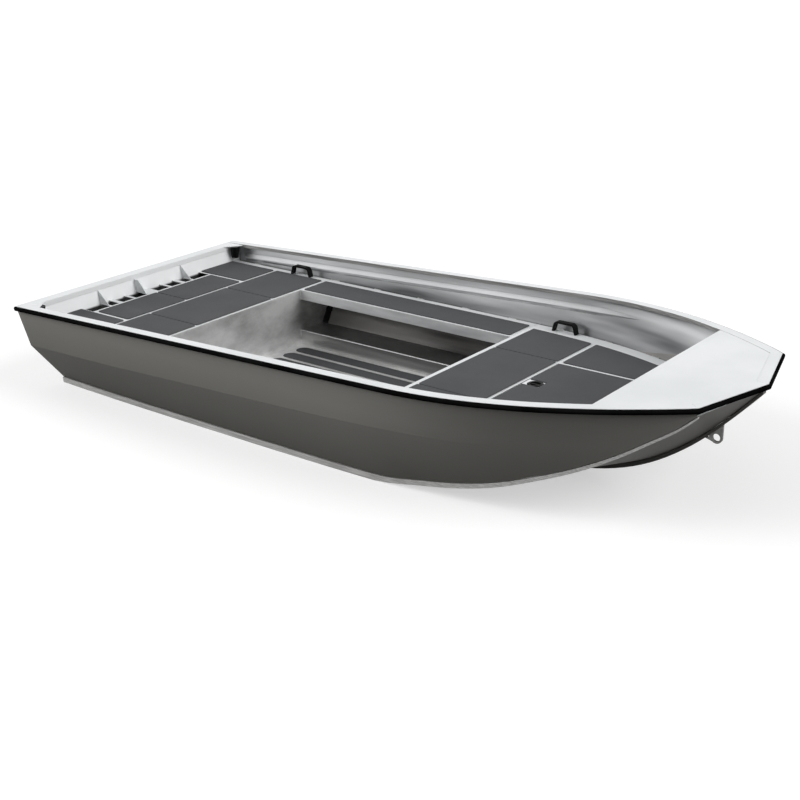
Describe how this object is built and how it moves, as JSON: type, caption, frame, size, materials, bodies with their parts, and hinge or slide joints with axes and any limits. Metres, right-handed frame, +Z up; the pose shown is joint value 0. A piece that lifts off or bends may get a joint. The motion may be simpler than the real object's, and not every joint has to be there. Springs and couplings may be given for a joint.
{
  "type": "small aluminium fishing boat",
  "caption": "Flat-bottomed aluminium fishing boat with a vee bow, raised aft and front decks, side benches over open lockers and a hinged deck hatch.",
  "frame": {"origin": "middle of the overall length on the centre line, on the floor under the chine runners", "axes": "+X towards the bow, +Y to port, +Z up"},
  "size_m": [3.4174, 1.596, 0.5479],
  "materials": {
    "hull_paint": "satin warm grey",
    "chine_metal": "satin light grey",
    "rail_metal": "satin white",
    "sheet_metal": "brushed",
    "mat_foam": "matte foam",
    "black_rubber": "satin",
    "black_plastic": "matte",
    "latch_plastic": "gloss",
    "bright_steel": "brushed"
  },
  "bodies": {
    "hull": {"hull_bottom": "hull_paint", "bow_sheet_port": "hull_paint", "bow_sheet_starboard": "hull_paint", "side_lower_port": "hull_paint", "side_lower_starboard": "hull_paint", "side_upper_port": "hull_paint", "side_upper_starboard": "hull_paint", "chine_runner_port": "chine_metal", "chine_runner_starboard": "chine_metal", "keel_strip": "hull_paint", "transom": "rail_metal", "transom_cap": "rail_metal", "transom_knees": "rail_metal", "gunwale_port": "rail_metal", "gunwale_starboard": "rail_metal", "bow_rail": "rail_metal", "rubber_port": "black_rubber", "rubber_starboard": "black_rubber", "rubber_bow": "black_rubber", "corner_plates": "rail_metal", "corner_sockets": "black_plastic", "side_ledges": "sheet_metal", "deck_brackets": "sheet_metal", "aft_deck": "sheet_metal", "aft_bulkhead": "sheet_metal", "bench_port": "sheet_metal", "bench_starboard": "sheet_metal", "side_box_port": "sheet_metal", "side_box_starboard": "sheet_metal", "floor_plate": "sheet_metal", "floor_mats": "mat_foam", "front_deck": "sheet_metal", "front_bulkhead": "sheet_metal", "bow_deck": "rail_metal", "bow_bulkhead": "sheet_metal", "aft_mats": "mat_foam", "bench_mats": "mat_foam", "front_mats": "mat_foam", "hatch_frame": "sheet_metal", "hinge_fixed": "bright_steel", "grab_handles": "black_plastic", "bow_eye": "sheet_metal", "locker_straps": "black_plastic"},
    "hatch": {"hatch_lid": "sheet_metal", "hatch_mat": "mat_foam", "hatch_latch": "latch_plastic", "hinge_leaf": "bright_steel"}
  },
  "joints": [
    {"name": "hatch_hinge", "type": "hinge", "parent": "hull", "child": "hatch", "pos_m": [1.18529, 0, 0.331], "axis": [0, 1, 0], "range_deg": [0, 95]}
  ]
}
